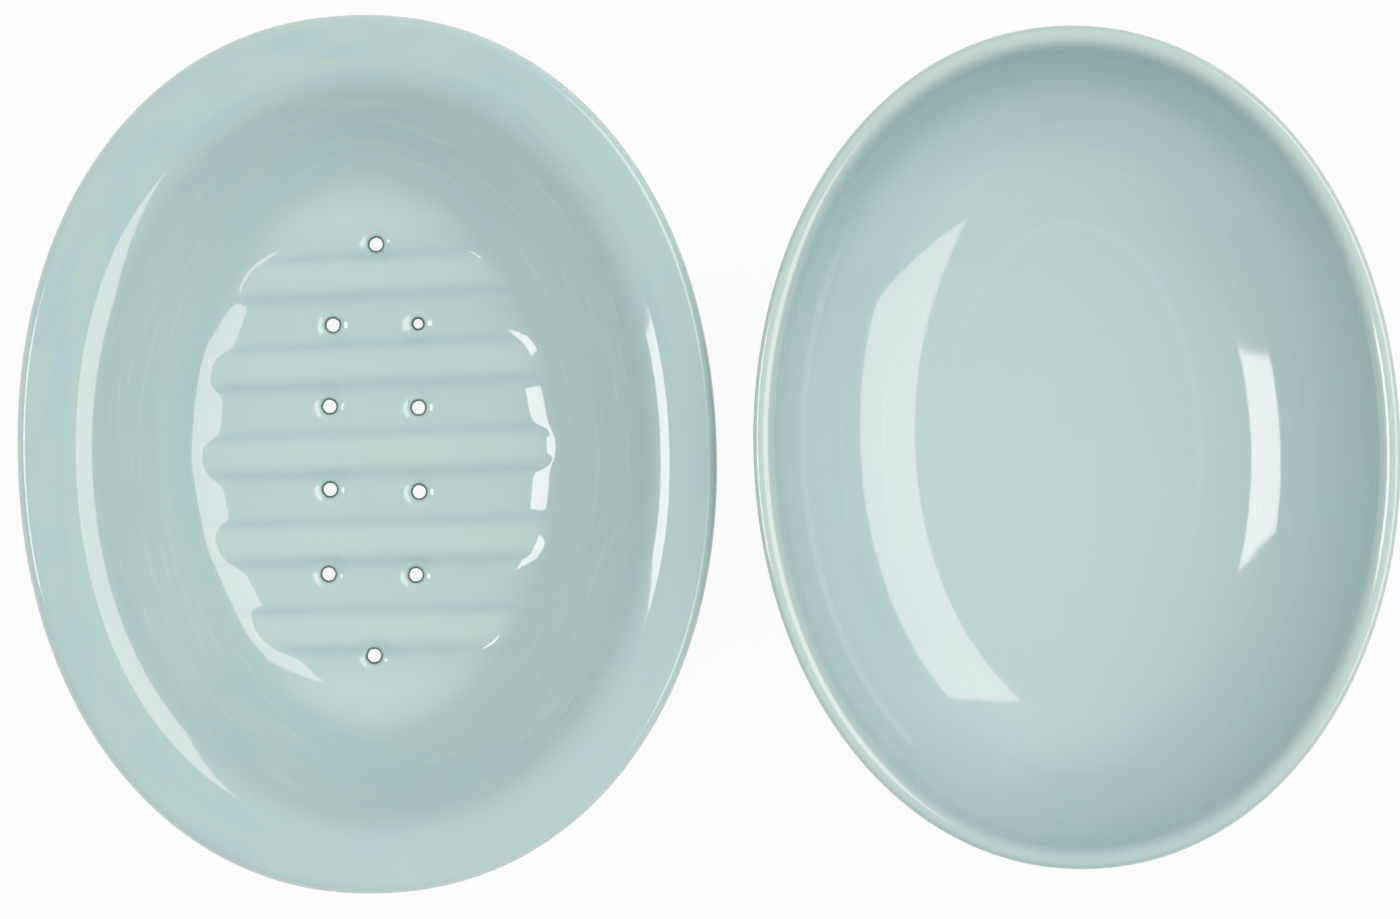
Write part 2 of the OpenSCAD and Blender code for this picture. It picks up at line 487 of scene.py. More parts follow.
class GlazeTree(NodeTree):
    """The nodes of a glaze."""

    def __init__(self, tree: bpy.types.NodeTree, glaze: Glaze) -> None:
        """Starts on an empty tree.

        Args:
            tree: the material's node tree.
            glaze: the sizes of the glaze.
        """
        super().__init__(tree)
        self.glaze = glaze
        self.where = self.add("ShaderNodeTexCoord").outputs["Object"]

    def build(self) -> None:
        """Lays the glaze over the clay, but for the bare clay under the foot ring."""
        glossy = self.add("ShaderNodeBsdfPrincipled", named={
            "Base Color": self.colour(), "Roughness": self.roughness(), "IOR": self.glaze.ior,
            "Normal": self.skin()})
        grain = self.texture(self.glaze.grain_scale, 3.0)
        bare = self.add("ShaderNodeBsdfPrincipled", named={
            "Base Color": self.clay_colour(), "Roughness": self.glaze.clay_rough,
            "Normal": self.bumped(grain, self.glaze.grain_strength, self.glaze.grain_h)})
        mixed = self.add("ShaderNodeMixShader", self.bare_mask(), glossy.outputs[0], bare.outputs[0])
        self.add("ShaderNodeOutputMaterial", mixed.outputs[0])

    def texture(self, scale: float, detail: float = 2.0, stretch: float | None = None) -> Value:
        """Noise of this glaze's own, drawn out along the outline where a stretch is given.

        Args:
            scale: waves to the metre.
            detail: how fine it gets.
            stretch: share of x and y that it keeps.
        Returns:
            The noise, from 0 to 1.
        """
        where = self.where
        if stretch is not None:
            x, y, _ = self.parts(where)
            where = self.vector(x * stretch, y * stretch, self.attribute("inset"))
        return self.noise(where, self.glaze.seed, scale, detail)

    def mix(self, share: object, first: object, second: object) -> Socket:
        """Two colours mixed by a share."""
        colours = [(*c, 1.0) if isinstance(c, tuple) else c for c in (first, second)]
        return self.add("ShaderNodeMix", share, *colours, data_type="RGBA").outputs[2]

    def attribute(self, name: str) -> Value:
        """A number that the piece's mesh carries."""
        return Value(self, self.add("ShaderNodeAttribute", attribute_name=name).outputs["Fac"])

    def colour(self) -> Socket:
        """The glaze's colour: painted shade along the strainer's ridge flanks, on its rim, under the bowl's
        lip and in the drain holes' bores, painted light and painted reflections on walls and floors, and
        paler where it runs thin over an edge.

        Returns:
            The colour.
        """
        g = self.glaze
        cloud = self.smooth(self.texture(g.cloud_scale), *g.cloud_fade)
        # painted shade along the strainer's ridge flanks, varied by the clouds
        pooled = self.attribute("pooled") * (cloud * g.flank_shade_change + (1.0 - g.flank_shade_change))
        mottled = self.mix(cloud * g.cloud_share, self.mix(pooled, g.body, g.pooled), g.thin)
        # painted shade: a patchy green-blue, laid where the mesh's deep attribute says
        patches = self.texture(g.patch_scale, stretch=g.patch_stretch)
        deep = self.mix(self.smooth(patches, *g.patch_fade), g.green, g.blue)
        edge = self.attribute("thin") * (cloud * g.cloud_share + (1.0 - g.cloud_share))
        edged = self.mix(edge, self.mix(self.attribute("deep"), mottled, deep), g.thin)
        # painted light and painted reflections, in the pale tint where the pale attribute and the streaks
        # say
        lit = self.mix(self.attribute("pale") + self.streaks(), edged, g.pale)
        # painted shade inside the drain holes' bores
        return self.mix(self.attribute("bore"), self.mix(self.specks(), lit, g.speck), g.bore)

    def streaks(self) -> Value:
        """Faint pale streaks that follow the wall round: painted reflections of the opposite wall's lit
        strips.

        Returns:
            Their strength.
        """
        g, inset = self.glaze, self.attribute("inset")
        drawn = self.smooth(self.texture(g.streak_scale, stretch=g.streak_stretch), *g.streak_fade)
        return drawn * (self.smooth(inset, *g.wall_fade) * self.fading(inset, *g.floor_fade)) * g.streak

    def specks(self) -> Value:
        """Fine dark specks in the glaze, one every few millimetres and most of them faint.

        Returns:
            Their strength.
        """
        g = self.glaze
        cells = self.add("ShaderNodeTexVoronoi", feature="F1",
                         named={"Vector": self.where, "Scale": g.speck_scale}).outputs
        kind = self.add("ShaderNodeSeparateColor", cells["Color"]).outputs[0]
        dots = self.fading(cells["Distance"], *g.speck_fade)
        return dots * self.smooth(kind, *g.speck_choice) * g.speck_share

    def roughness(self) -> Value:
        """Nearly mirror-smooth, a little duller in clouds, and dull inside the drain holes."""
        clouds = self.texture(self.glaze.gloss_scale) * self.glaze.gloss_change + self.glaze.gloss
        return self.attribute("bore") * self.glaze.bore_dull + clouds

    def bumped(self, height: object, strength: float = 1.0, distance: float = 1.0) -> Socket:
        """The surface's direction, bumped by a height."""
        inputs = {"Strength": strength, "Distance": distance, "Height": height}
        return self.add("ShaderNodeBump", named=inputs).outputs[0]

    def skin(self) -> Socket:
        """The faint orange-peel of a fired glaze, with its few blemishes.

        Returns:
            The surface's direction.
        """
        g = self.glaze
        height = self.texture(g.peel_scale, 1.0) * g.peel_h
        x, y, _ = self.parts(self.where)
        for place in g.blemishes:
            away = self.add("ShaderNodeVectorMath", self.vector(x, y, 0.0), (*place, 0.0),
                            operation="DISTANCE").outputs["Value"]
            height = self.fading(away, *g.blemish_fade) * g.blemish_h + height
        return self.bumped(height)

    def clay_colour(self) -> Socket:
        """Bare clay with its grain."""
        g = self.glaze
        return self.mix(self.texture(g.clay_scale, 4.0), g.clay, tuple(c * g.clay_dark for c in g.clay))

    def bare_mask(self) -> Value:
        """1 under the foot ring, where the glaze was wiped off, with a slightly uneven line."""
        line = self.texture(self.glaze.bare_scale) * self.glaze.bare_change + self.glaze.bare_height
        return self.parts(self.where)[2] < line


@dataclass(frozen=True)
class TableTop:
    """Plain white table, which keeps the object's shadow and shows white to the camera."""

    colour: Colour = (0.9, 0.9, 0.9)
    white_share: float = 0.92

    def build(self) -> bpy.types.Material:
        """Makes the material.

        Returns:
            The material.
        """
        material = bpy.data.materials.new("table_top")
        material.use_nodes = True
        t = NodeTree(material.node_tree)
        seen = t.rays("Camera", "Glossy", "Transmission")
        matt = t.add("ShaderNodeBsdfDiffuse", (*self.colour, 1.0))
        white = t.add("ShaderNodeEmission", WHITE, 1.0)
        mixed = t.add("ShaderNodeMixShader", seen * self.white_share, matt.outputs[0], white.outputs[0])
        t.add("ShaderNodeOutputMaterial", mixed.outputs[0])
        return material


@dataclass
class Vessel:
    """A piece whose section is swept round a rounded outline.

    The outline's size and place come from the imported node; the rest are the piece's own sizes.
    """

    node: str
    body: str
    power: float
    inner_power: float
    points_round: int
    step: float
    softness: float = 0.35 * MM
    turn: float = 0.15
    seed: float = 0.0
    waviness: float = 0.05 * MM
    wave_length: float = 22 * MM
    wave_fade: Point = (2 * MM, 5 * MM)
    power_fade: Point = (8 * MM, 25 * MM)
    seam: float = 0.01 * MM
    centre: Vector = field(init=False)
    half_w: float = field(init=False)
    half_l: float = field(init=False)
    height: float = field(init=False)

    def __post_init__(self) -> None:
        """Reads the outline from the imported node."""
        low, high = (Vector(corner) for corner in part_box(self.node))
        self.centre = Vector(((low.x + high.x) / 2, (low.y + high.y) / 2, 0.0))
        self.half_w = (high.x - low.x) / 2
        self.half_l = (high.y - low.y) / 2
        self.height = high.z

    def power_at(self, inset: float) -> float:
        """The power of the outline at an inset: how square its corners are.

        Args:
            inset: distance from the edge.
        Returns:
            The power.
        """
        start, end = self.power_fade
        share = min(max((inset - start) / (end - start), 0.0), 1.0)
        return self.power + (self.inner_power - self.power) * share * share * (3 - 2 * share)

    def outline(self, inset: float, angle: float) -> Point:
        """A point of the outline, drawn in by an inset.

        Args:
            inset: distance from the piece's edge.
            angle: in radians.
        Returns:
            The point (x, y) from the piece's centre.
        """
        c, s = math.cos(angle), math.sin(angle)
        exponent = 2 / self.power_at(inset)
        x = math.copysign(abs(c) ** exponent, c) * (self.half_w - inset)
        y = math.copysign(abs(s) ** exponent, s) * (self.half_l - inset)
        return x, y

    def foot_ring(self, inset: float, width: float, height: float) -> list[Point]:
        """Section of a foot ring, from the inside of the ring to the outside.

        Args:
            inset: from the piece's edge to the outside of the ring.
            width, height: of the ring.
        Returns:
            The points (inset, z).
        """
        rounding = height / 2
        return [(inset + width + rounding, height),
                *arc((inset + width - rounding, rounding), rounding, rounding, 0, -90),
                *arc((inset + rounding, rounding), rounding, rounding, -90, -180)]

    def swept(self, t: GeometryTree, section: Thing, rings: int,
              closes_at: float) -> tuple[Socket, tuple[Value, Value, Value], Value, Value]:
        """Nodes for the section swept round; past an inset its rings only shrink, so that they close.

        Args:
            t: the tree.
            section: object that holds the section's points.
            rings: how many points it has.
            closes_at: the inset past which the rings keep their shape and shrink.
        Returns:
            The grid, the point (x, y, z) from the piece's centre, the inset and the share of the rows.
        """
        columns = t.size("Points round", self.points_round + 1, "NodeSocketInt")
        grid, (angle, inset, z, row) = t.swept("Section", section, columns, rings)
        half_w, half_l = t.size("Half width", self.half_w), t.size("Half length", self.half_l)
        outer, inner = t.size("Outline power", self.power), t.size("Inner outline power", self.inner_power)
        power = t.smooth(inset, *self.power_fade) * (inner - outer) + outer
        last = t.size("Closes at", closes_at)
        shrink = (half_l - inset.at_least(last)) / (half_l - last)
        found = []
        for operation, half in (("COSINE", half_w), ("SINE", half_l)):
            value = t.math(operation, angle)
            rounded = t.math("SIGN", value) * abs(value) ** (2.0 / power)
            found.append(rounded * ((half - inset.at_most(last)) * shrink))
        return grid, (found[0], found[1], z), inset, row

    def placed(self, t: GeometryTree, x: Value, y: Value, z: Value) -> Socket:
        """A position from the piece's centre, moved to where the piece stands."""
        centre = t.size("Centre", self.centre, "NodeSocketVector")
        return t.add("ShaderNodeVectorMath", t.vector(x, y, z), centre, operation="ADD").outputs[0]

    def from_centre(self, t: GeometryTree) -> list[Value]:
        """Where a point is, from the piece's centre."""
        centre = t.size("Centre", self.centre, "NodeSocketVector")
        return t.parts(t.add("ShaderNodeVectorMath", t.position(), centre, operation="SUBTRACT").outputs[0])

    def wavy(self, t: GeometryTree, mesh: Socket) -> Socket:
        """Draws the surface in by a hair here and there, as hand-finished ware is, but not at its foot.

        Args:
            t: the tree.
            mesh: the piece.
        Returns:
            The mesh.
        """
        scale = 1.0 / t.size("Wave length", self.wave_length)
        noise = t.noise(t.position(), t.size("Seed", self.seed), scale, 1.0)
        above = t.smooth(t.parts(t.position())[2], *self.wave_fade)
        drawn = noise * above * (t.size("Waviness", self.waviness) * -1.0)
        normal = t.add("GeometryNodeInputNormal").outputs[0]
        shift = t.add("ShaderNodeVectorMath", normal, drawn, operation="SCALE")
        return t.moved(mesh, offset=shift.outputs[0])

    def fired(self, t: GeometryTree, mesh: Socket, material: bpy.types.Material,
              helpers: list[Thing]) -> Thing:
        """Finishes the piece, which then stands for its node and rides on its body.

        Args:
            t: its tree.
            mesh: its mesh, with open seams.
            material: its glaze.
            helpers: objects that the tree reads, which aren't kept.
        Returns:
            The piece.
        """
        closed = t.add("GeometryNodeMergeByDistance", named={"Geometry": mesh, "Distance": self.seam})
        t.finish(self.wavy(t, closed.outputs[0]), material)
        piece = t.bake(self.node + "_glazed")
        for helper in helpers:
            bpy.data.objects.remove(helper)
        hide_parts(self.node)
        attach(piece, self.body)
        LOG.info("%s: %d faces", piece.name, len(piece.data.polygons))
        return piece


@dataclass
class Bowl(Vessel):
    """The lower piece: a plain deep bowl with a rounded lip and a foot ring."""

    lip_out: float = 1.06 * MM
    lip_in: float = 2.4 * MM
    well_in: float = 4.0 * MM
    well_w: float = 31.8 * MM
    well_d: float = 29 * MM
    steepest: float = 80.0
    floor_z: float = 7.5 * MM
    wall_w: float = 32.6 * MM
    foot_h: float = 2.5 * MM
    foot_w: float = 3.6 * MM
    foot_in: float = 25.6 * MM
    rings: tuple[tuple[float, float, float], ...] = (
        (11.4 * MM, 0.02 * MM, 0.4 * MM), (13.6 * MM, 0.012 * MM, 0.4 * MM))
    floor_line: float = 31.4 * MM
    floor_line_w: float = 0.5 * MM
    line_pale: float = 0.22
    line_fade: Point = (-12 * MM, 18 * MM)
    far_fade: Point = (0.1, 0.8)
    far_right: float = 0.5
    near_fade: Point = (-0.6, -0.95)
    near_lip_thin_shade: float = 0.7
    near_lip_shade: float = 0.7
    right_way: Point = (0.8, -0.4)
    right_fade: Point = (5 * MM, 35 * MM)
    lit: float = 0.45
    lit_right: float = 0.4
    end_fade: Point = (25 * MM, 45 * MM)
    end_rise: float = 5 * MM
    lip_fade: Point = (1.5 * MM, 5 * MM)
    lip_low_fade: Point = (-6 * MM, -1 * MM)
    under_lip_fade: Point = (6 * MM, 12 * MM)
    under_lip_shade: float = 0.9
    foot_fade: Point = (0.0, 9 * MM)
    foot_thin: float = 0.4
    upper_fade: Point = (2 * MM, 11 * MM)
    well_fade: Point = (-1 * MM, 1 * MM)

    def section(self) -> list[Point]:
        """The section from the middle of the underside to the middle of the floor.

        Returns:
            The points (inset, z).
        """
        lip_z = self.height - self.lip_out
        rise = lip_z - self.foot_h
        foot_angle = math.degrees(math.acos(1 - (self.foot_in - self.foot_h / 2) / self.wall_w))
        across = self.well_w - self.well_in
        steep = math.degrees(math.atan(self.well_d / across / math.tan(math.radians(self.steepest))))
        well = arc((self.well_w, self.floor_z + self.well_d), -across, self.well_d, -steep, -90)
        return [(self.half_l, self.foot_h),
                *self.foot_ring(self.foot_in, self.foot_w, self.foot_h),
                *arc((self.wall_w, lip_z), -self.wall_w, rise, -foot_angle, 0),
                *arc((self.lip_out, lip_z), self.lip_out, self.lip_out, 180, 90),
                *arc((self.lip_out, self.height - self.lip_in), self.lip_in, self.lip_in,
                     90, 90 - self.steepest),
                *[(d, z + self.ripple(d)) for d, z in well],
                (self.half_l, self.floor_z)]

    def ripple(self, inset: float) -> float:
        """Height of the faint turning rings on the wall inside."""
        return sum(high * math.exp(-((inset - at) / wide) ** 2) for at, high, wide in self.rings)

    def tinted(self, t: GeometryTree, mesh: Socket, place: tuple[Value, Value, Value], inset: Value,
               inside: Value) -> Socket:
        """Stores where the glaze runs thin, and where shade and light are painted: painted shade under the
        lip on the far side and over the near lip, painted light on the upper wall, and a painted reflection
        line where the floor meets the wall.

        Args:
            t: the tree.
            mesh: the piece, in its place.
            place: the point (x, y, z) from the piece's centre.
            inset: distance from the piece's edge.
            inside: 1 on the side that faces up.
        Returns:
            The mesh.
        """
        x, y, z = place
        right = t.smooth(x * self.right_way[0] + y * self.right_way[1], *self.right_fade)
        far = t.smooth(y / self.half_l, *self.far_fade)
        far = far * (1.0 - t.smooth(x, 0.0, self.half_w) * self.far_right)
        near = t.smooth(y / self.half_l, *self.near_fade)
        lip = t.fading(inset, *self.lip_fade) * t.smooth(z - self.height, *self.lip_low_fade)
        low = t.fading(z - self.floor_z, *self.foot_fade)
        # painted shade on the near lip: its thin-glaze tone is taken back there
        shaded_lip = lip * (1.0 - near * self.near_lip_thin_shade)
        mesh = t.store(mesh, "thin", shaded_lip.at_least(low * self.foot_thin))
        # painted shade under the lip on the far side, less to the right, and over the near lip
        under_lip = t.fading(inset, *self.under_lip_fade) * far
        deep = under_lip * inside * self.under_lip_shade
        mesh = t.store(mesh, "deep", deep.at_least(lip * near * self.near_lip_shade))
        # painted light on the upper wall, weaker to the right and the near side, and none under the far lip
        raised = t.smooth(abs(y), *self.end_fade) * self.end_rise + (z - self.floor_z)
        upper = t.smooth(raised, *self.upper_fade) * t.smooth(inset - self.well_in, *self.well_fade)
        lit = upper * (self.lit - right * self.lit_right) * (1.0 - under_lip)
        # painted reflection: a pale line where the floor meets the wall, on the right and far side
        off = (inset - self.floor_line) / self.floor_line_w
        line = t.math("EXPONENT", off * off * -1.0) * t.smooth(x + y, *self.line_fade)
        mesh = t.store(mesh, "pale", inside * lit.at_least(line * self.line_pale))
        return t.store(mesh, "inset", inset * inside)

    def build(self, material: bpy.types.Material) -> Thing:
        """Makes the bowl in its glaze.

        Args:
            material: its glaze.
        Returns:
            The finished piece.
        """
        line = glazed(self.section(), self.softness, self.step, self.turn)
        lip_row = (int(np.argmax(line[:, 1])) - 0.5) / (len(line) - 1)
        section = section_object("bowl_section", line)
        t = GeometryTree("bowl_sweep")
        grid, place, inset, row = self.swept(t, section, len(line), self.well_w)
        mesh = t.moved(grid, position=self.placed(t, *place))
        return self.fired(t, self.tinted(t, mesh, place, inset, row > lip_row), material, [section])


@dataclass
class Strainer(Vessel):
    """The upper piece: a wide rim round a basin with a ridged, drilled floor, on a foot ring."""

    thickness: float = 4 * MM
    rim_w: float = 6.2 * MM
    edge_w: float = 1.6 * MM
    shoulder_r: float = 8.2 * MM
    wall_slope: float = 54.4
    wall_in: float = 28.4 * MM
    floor_r: float = 14.5 * MM
    floor_turn: float = 38.0
    wall_r: float = 34 * MM
    basin_off: float = 1.1 * MM
    floor_off: float = -0.2 * MM
    floor_off_from: float = 8 * MM
    foot_h: float = 1.6 * MM
    foot_w: float = 2.8 * MM
    foot_out: float = 4.6 * MM
    ridges: int = 5
    ridge_h: float = 1.58 * MM
    ridge_top: float = 0.2 * MM
    ridge_foot: float = 5.9 * MM
    ridge_off: float = 0.3 * MM
    ridge_fan: float = 0.6
    end_ridge_in: float = 7.06 * MM
    left_fade: Point = (-8 * MM, 8 * MM)
    left_end_fade: Point = (4.3 * MM, 10.5 * MM)
    join_power: float = 3.0
    floor_steps: int = 3
    floor_reach: float = 2 * MM
    hole_r: float = 1.04 * MM
    hole_taper: float = 0.2 * MM
    hole_edge_w: float = 2.2 * MM
    hole_edge_h: float = 1.1 * MM
    hole_edge_end: float = 172.0
    hole_foot_r: float = 0.6 * MM
    hole_gap: float = 13.9 * MM
    end_hole_in: float = 2.56 * MM
    hole_off: float = 0.75 * MM
    hole_turn: float = -2.0
    hole_drift: tuple[Point, ...] = (
        (0.06, -0.19), (-0.35, -0.27), (-0.26, -0.35), (-0.13, 0.14), (0.21, -0.2),
        (-0.24, 0.3), (0.08, 0.13), (0.26, 0.18), (0.0, 0.43), (0.17, -0.03))
    narrow_hole: int = 8
    narrower: float = 0.28 * MM
    ragged: float = 0.25 * MM
    ragged_scale: float = 1.2
    collar_r: float = 3.8 * MM
    under_collar_r: float = 2.3 * MM
    collar_points: int = 48
    collar_softness: float = 0.08 * MM
    collar_step: float = 0.4 * MM
    collar_turn: float = 0.2
    sheet_out: float = 3 * MM
    sheet_step: float = 0.75 * MM
    under_step: float = 3 * MM
    sheet_margin: float = 0.6
    edge_fade: Point = (0.4 * MM, 1.6 * MM)
    edge_pale: float = 0.5
    rim_fade: Point = (-3 * MM, -0.3 * MM)
    rim_shade: float = 0.65
    rim_lit_way: Point = (0.7, -0.5)
    rim_lit_fade: Point = (15 * MM, 40 * MM)
    rim_lit_less: float = 0.45
    line_off: float = 3.1 * MM
    flank_shade_share: float = 0.8
    crest_thin: float = 0.6
    crest_fade: Point = (-1.1 * MM, -0.1 * MM)
    line_fade: Point = (-0.8 * MM, 0.0)
    past_line_fade: Point = (0.0, 1.1 * MM)
    ridge_fade: Point = (1.5 * MM, 2.4 * MM)
    end_pale: float = 0.3
    end_fade: Point = (33 * MM, 38 * MM)
    end_top_fade: Point = (1.5 * MM, 5 * MM)
    side_pale: float = 0.2
    side_fade: Point = (20 * MM, 32 * MM)
    side_foot_fade: Point = (3 * MM, 7 * MM)
    side_top_fade: Point = (-8 * MM, -3 * MM)
    bore_fade: Point = (0.0, 0.12 * MM)
    halo_pale: float = 0.7
    halo_fade: Point = (0.0, 1.76 * MM)

    def __post_init__(self) -> None:
        """Works out where wall and floor lie."""
        super().__post_init__()
        slope, turn = math.radians(self.wall_slope), math.radians(self.floor_turn)
        self.floor_z = self.foot_h + self.thickness
        self.floor_in = self.rim_w + self.wall_in
        arcs_in = ((self.shoulder_r + self.wall_r) * math.sin(slope)
                   + (self.floor_r - self.wall_r) * math.sin(turn))
        arcs_z = (self.floor_r + self.shoulder_r - (self.wall_r + self.shoulder_r) * math.cos(slope)
                  + (self.wall_r - self.floor_r) * math.cos(turn))
        self.rim_z = self.floor_z + arcs_z + (self.wall_in - arcs_in) * math.tan(slope)
        self.floor_half_l = self.half_l - self.floor_in
        self.ridge_pitch = 2 * (self.floor_half_l - self.end_ridge_in) / (self.ridges - 1)
        self.hole_pitch = 2 * (self.floor_half_l - self.end_hole_in) / self.ridges
        self.foot_in = self.floor_in - self.foot_out
        self.sheet_in = self.floor_in - self.sheet_out
        self.under_in = self.foot_in + self.foot_w + self.foot_h / 2
        self.floor_x = self.basin_off + self.floor_off

    def section(self, place: Place) -> list[Point]:
        """The section on one side of the rim's edge.

        Args:
            place: under, from the foot ring out to the rim's edge, or inside, from there to the floor.
        Returns:
            The points (inset, z).
        """
        t, slope, turn = self.thickness, self.wall_slope, self.floor_turn
        middle_z = (self.rim_z - t + self.height) / 2
        shoulder = (self.rim_w, self.rim_z - self.shoulder_r)
        fillet = (self.floor_in, self.floor_z + self.floor_r)
        more, lean = self.wall_r - self.floor_r, math.radians(turn)
        wall = (fillet[0] + more * math.sin(lean), fillet[1] + more * math.cos(lean))
        if place is Place.UNDER:
            reach = (self.foot_out + self.foot_h / 2) / (self.floor_r + t)
            start = -90 - math.degrees(math.asin(reach))
            return [*self.foot_ring(self.foot_in, self.foot_w, self.foot_h),
                    *arc(fillet, self.floor_r + t, self.floor_r + t, start, -90 - turn),
                    *arc(wall, self.wall_r + t, self.wall_r + t, -90 - turn, -90 - slope),
                    *arc(shoulder, self.shoulder_r - t, self.shoulder_r - t, 90 - slope, 90),
                    *arc((self.edge_w, middle_z), -self.edge_w, self.height - middle_z, -90, 0)]
        sheet = -90 - math.degrees(math.asin(self.sheet_out / self.floor_r))
        return [*arc((self.edge_w, middle_z), -self.edge_w, self.height - middle_z, 0, 90),
                *arc(shoulder, self.shoulder_r, self.shoulder_r, 90, 90 - slope),
                *arc(wall, self.wall_r, self.wall_r, -90 - slope, -90 - turn),
                *arc(fillet, self.floor_r, self.floor_r, -90 - turn, sheet)]

    def holes(self) -> list[Point]:
        """Places of the drain holes from the piece's centre: one in each end row, two in the others.

        Returns:
            The places (x, y).
        """
        places = []
        turn = math.radians(self.hole_turn)
        for row in range(self.ridges + 1):
            y = (row - self.ridges / 2) * self.hole_pitch
            for x in ([0.0] if row in (0, self.ridges) else [-self.hole_gap / 2, self.hole_gap / 2]):
                drift = self.hole_drift[len(places)]
                places.append((x * math.cos(turn) - y * math.sin(turn) + self.floor_x + drift[0] * MM,
                               x * math.sin(turn) + y * math.cos(turn) + self.hole_off + drift[1] * MM))
        return places

    def sheet(self, inset: float, middle: float, step: float,
              opening: float) -> tuple[list[Vector], list[list[int]]]:
        """A flat sheet that fills the outline at an inset, with a round opening for each hole's collar.

        Args:
            inset: the outline's inset.
            middle: x of the outline's middle.
            step: distance between the sheet's points.
            opening: radius of each opening.
        Returns:
            Its points from the piece's centre, and its triangles.
        """
        n, m = self.points_round, self.collar_points
        ring = [self.outline(inset, math.tau * i / n) for i in range(n)]
        points = [Vector((x + middle, y)) for x, y in ring]
        edges = [(i, (i + 1) % n) for i in range(n)]
        for hx, hy in self.holes():
            first = len(points)
            points += [Vector((hx + opening * math.cos(math.tau * i / m),
                               hy + opening * math.sin(math.tau * i / m))) for i in range(m)]
            edges += [(first + i, first + (i + 1) % m) for i in range(m)]
        half_w, half_l = self.half_w - inset, self.half_l - inset
        margin, power = self.sheet_margin * step, self.power_at(inset)

        def clear(p: Vector, reach: float) -> bool:
            """Whether a point lies farther than this from every hole."""
            return all((p - Vector(h)).length > reach for h in self.holes())

        for j in range(int(-half_l / step), int(half_l / step) + 1):
            for i in range(int(-half_w / step), int(half_w / step) + 1):
                x, y = i * step, j * step
                rim = (abs(x) / (half_w - margin)) ** power + (abs(y) / (half_l - margin)) ** power
                p = Vector((x + middle, y))
                if rim < 1 and clear(p, opening + margin):
                    points.append(p)
        made = delaunay_2d_cdt(points, edges, [], 0, TINY)
        spots = made[0]
        chord = opening * math.cos(math.pi / m)
        hearts = [sum((spots[k] for k in f), Vector((0, 0))) / len(f) for f in made[2]]
        return spots, [list(f) for f, heart in zip(made[2], hearts) if clear(heart, chord)]

    def collar(self) -> list[Point]:
        """Section (radius, z) of a drain hole: the floor, the hole's edge, its bore and the underside.

        Returns:
            The points.
        """
        low, foot_r = self.foot_h, self.hole_foot_r
        edge = (self.hole_r + self.hole_taper + self.hole_edge_w, self.floor_z - self.hole_edge_h)
        top = arc(edge, self.hole_edge_w, self.hole_edge_h, 90, self.hole_edge_end)
        under = arc((self.hole_r + foot_r, low + foot_r), foot_r, foot_r, 180, 270)
        return [(self.collar_r, self.floor_z), *top, *under, (self.under_collar_r, low)]

    def tree_off(self, t: GeometryTree, x: Value, y: Value) -> Value:
        """Nodes for the distance from the middle of the nearest ridge.

        Args:
            t: the tree.
            x, y: the point, from the piece's centre.
        Returns:
            The distance.
        """
        pitch = t.size("Ridge pitch", self.ridge_pitch)
        across = abs(y - self.ridge_off - x * (y * self.ridge_fan))
        last = t.size("Ridges on each side", (self.ridges - 1) / 2)
        return abs(across - t.math("ROUND", across / pitch).at_most(last) * pitch)

    def tree_joined(self, t: GeometryTree, wall: Value, out: Value, x: Value, y: Value) -> Value:
        """Nodes for the height above the valleys where the ridges run softly into the wall.

        Args:
            t: the tree.
            wall: the wall's own height above the valleys.
            out: distance outside the floor's outline, where the left ends of the ridges fade.
            x, y: the point, from the piece's centre.
        Returns:
            The height.
        """
        power = t.size("Join power", self.join_power)
        fall = t.smooth(self.tree_off(t, x, y), self.ridge_top, self.ridge_foot, "SMOOTHERSTEP")
        kept = 1.0 - t.smooth(out, *self.left_end_fade) * t.fading(x, *self.left_fade)
        ridge = (1.0 - fall) * t.size("Ridge height", self.ridge_h) * kept
        return ((wall / MM) ** power + (ridge / MM) ** power) ** (1.0 / power) * MM

    def tree_floor(self, t: GeometryTree, x: Value, y: Value) -> Value:
        """Nodes for the floor's height above the valleys at a point, on its fillet too.

        Args:
            t: the tree.
            x, y: the point, from the piece's centre.
        Returns:
            The height.
        """
        inset = self.floor_in
        across, along = abs(x - self.floor_x), abs(y)
        for _ in range(self.floor_steps):
            half_w, half_l = self.half_w - inset, self.half_l - inset
            a, b = (across / half_w) ** self.inner_power, (along / half_l) ** self.inner_power
            slope = (a / half_w + b / half_l) * self.inner_power
            inset = (inset - (a + b - 1.0) / slope).at_most(self.floor_in + self.floor_reach)
        out = (self.floor_in - inset).at_least(0.0)
        level = t.math("SQRT", self.floor_r ** 2 - out * out)
        return self.tree_joined(t, self.floor_r - level, out, x, y)

    def tinted(self, t: GeometryTree, mesh: Socket, upper: Value, pale: object) -> Socket:
        """Stores where the glaze runs thin over the ridges, and where shade and light are painted: painted
        shade along each ridge's flank and on the rim, painted light at the floor's ends and on the side
        walls.

        Args:
            t: the tree.
            mesh: a part of the piece, in its place.
            upper: 1 on the side that faces up, whose ridges show in the glaze.
            pale: how pale the part itself is, where the glaze runs thin over an edge and painted light lifts
                that edge's shade.
        Returns:
            The mesh.
        """
        x, y, z = self.from_centre(t)
        above, below = z - self.floor_z, z - self.height
        past = self.tree_off(t, x, y) - self.line_off
        low = upper * t.fading(above, *self.ridge_fade)
        mesh = t.store(mesh, "thin", t.fading(past, *self.crest_fade) * low * self.crest_thin)
